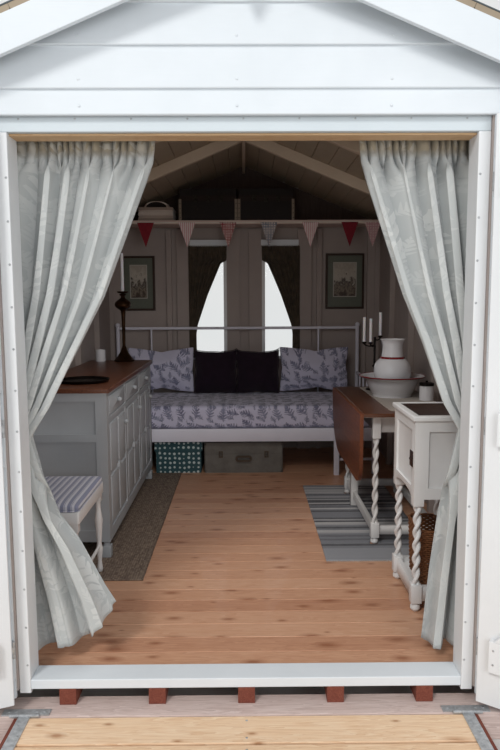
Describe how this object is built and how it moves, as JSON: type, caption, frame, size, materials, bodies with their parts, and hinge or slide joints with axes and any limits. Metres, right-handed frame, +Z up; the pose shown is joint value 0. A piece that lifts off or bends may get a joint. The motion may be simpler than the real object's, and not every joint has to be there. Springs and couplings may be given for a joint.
{
  "type": "beach hut",
  "caption": "White timber beach hut with a pitched roof, a pair of ledged doors standing open, a folding deck flap, curtains and its furnished room.",
  "frame": {"origin": "on the ground under the middle of the middle bearer, below the ridge", "axes": "-Y is the front with the doors, +X is to the right seen from the front, +Z is up"},
  "size_m": [2.9846, 5.083, 2.7127],
  "materials": {
    "old_timber": "weathered grey timber",
    "joist_timber": "red-brown treated timber",
    "deck_timber": "golden brown stained boards",
    "floor_timber": "varnished boards",
    "white_paint": "white painted timber",
    "inner_paint": "grey painted timber",
    "roof_felt": "boards under mineral felt",
    "galvanised": "galvanised steel",
    "clear_glass": "clear",
    "curtain_cloth": "pale grey-green damask",
    "dark_cloth": "dark woven curtain",
    "bedding_cloth": "white with grey-blue sprigs",
    "aubergine_cloth": "dark velvet",
    "flag_cloth": "mixed cotton flags",
    "striped_cloth": "blue and white stripe",
    "rug_cloth": "woven floor rugs",
    "linen": "folded linen",
    "trunk_skin": "dark leather cloth",
    "case_skin": "beige fibre case",
    "metal_paint": "white painted tube",
    "dark_wood": "dark stained wood",
    "brown_top": "painted carcase with a brown top",
    "wicker": "woven cane",
    "brass": "aged brass",
    "enamel": "white enamel ware"
  },
  "bodies": {
    "hut": {"back_studs": "inner_paint", "back_wall": "white_paint", "bargeboards": "white_paint", "baskets": "wicker", "bearers": "old_timber", "bunting": "flag_cloth", "corner_trims": "white_paint", "curtain_rail": "dark_wood", "cushions": "aubergine_cloth", "daybed": "metal_paint", "deck_hinge_plates": "galvanised", "door_head": "white_paint", "door_hinge_plates": "galvanised", "door_jambs": "white_paint", "door_sill": "white_paint", "drop_leaf_table": "brown_top", "fascias": "white_paint", "finial": "white_paint", "floor": "floor_timber", "floor_joists": "joist_timber", "front_gable": "white_paint", "front_sleeper": "old_timber", "front_wall_left": "white_paint", "front_wall_right": "white_paint", "high_shelf": "white_paint", "left_curtain": "curtain_cloth", "left_roof": "roof_felt", "left_wall": "white_paint", "linen_stack": "linen", "mattress": "bedding_cloth", "pictures": "dark_wood", "pillows": "bedding_cloth", "rafters": "white_paint", "ridge_board": "white_paint", "right_curtain": "curtain_cloth", "right_roof": "roof_felt", "right_wall": "white_paint", "rugs": "rug_cloth", "side_cabinet": "brown_top", "sideboard": "brown_top", "stool": "white_paint", "stool_seat": "striped_cloth", "table_leaf": "brown_top", "tableware": "enamel", "trunks": "trunk_skin", "under_bed_boxes": "case_skin", "wall_plates": "inner_paint", "wall_studs": "inner_paint", "window_curtains": "dark_cloth", "window_frames": "white_paint", "window_glass": "clear_glass"},
    "left_door": {"left_door": "white_paint", "left_door_ledges": "white_paint", "left_door_straps": "galvanised"},
    "right_door": {"right_door": "white_paint", "right_door_ledges": "white_paint", "right_door_straps": "galvanised"},
    "front_deck": {"deck_boards": "deck_timber", "deck_battens": "deck_timber", "deck_straps": "galvanised"}
  },
  "joints": [
    {"name": "left_door_swing", "type": "hinge", "parent": "hut", "child": "left_door", "pos_m": [-0.803, -1.899, 1.1], "axis": [0, 0, 1], "range_deg": [-8, 157]},
    {"name": "right_door_swing", "type": "hinge", "parent": "hut", "child": "right_door", "pos_m": [0.803, -1.899, 1.1], "axis": [0, 0, -1], "range_deg": [-21, 144]},
    {"name": "deck_fold", "type": "hinge", "parent": "hut", "child": "front_deck", "pos_m": [0, -1.935, 0.106], "axis": [-1, 0, 0], "range_deg": [0, 90]}
  ]
}
